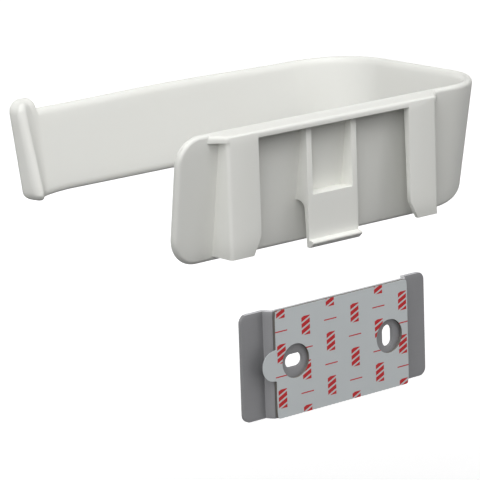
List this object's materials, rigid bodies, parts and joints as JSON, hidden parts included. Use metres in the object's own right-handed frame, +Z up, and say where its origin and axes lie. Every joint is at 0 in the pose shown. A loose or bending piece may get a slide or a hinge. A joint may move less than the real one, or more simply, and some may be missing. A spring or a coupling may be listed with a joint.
{
  "type": "toilet roll holder",
  "caption": "White moulded toilet roll holder with an open arm and end lip, whose panel slides down over a taped steel wall plate and snaps onto it.",
  "frame": {"origin": "middle of the wall-side face of the ledge over the rails", "axes": "+Z up, +Y towards the wall, +X along the panel towards the arm's open end"},
  "size_m": [0.1471, 0.087, 0.0999],
  "materials": {
    "white_abs": "semi-gloss moulded white",
    "satin_steel": "satin",
    "grey_foam": "matte foam",
    "release_paper": "smooth coated paper"
  },
  "bodies": {
    "holder": {"holder_body": "white_abs"},
    "tongue": {"snap_tongue": "white_abs"},
    "plate": {"wall_plate": "satin_steel", "foam_tape": "grey_foam"},
    "liner": {"release_liner": "release_paper"}
  },
  "joints": [
    {"name": "tongue_flex", "type": "hinge", "parent": "holder", "child": "tongue", "pos_m": [0, -0.0029, -0.0263], "axis": [-1, 0, 0], "range_deg": [0, 8], "stiffness_Nm_per_rad": 1.5},
    {"name": "plate_slide", "type": "slide", "parent": "holder", "child": "plate", "axis": [0, 0, 1], "range_m": [0, 0.057], "deforming": ["snap_tongue"]},
    {"name": "liner_peel", "type": "slide", "parent": "plate", "child": "liner", "axis": [0, 1, 0], "range_m": [0, 0.03]}
  ]
}
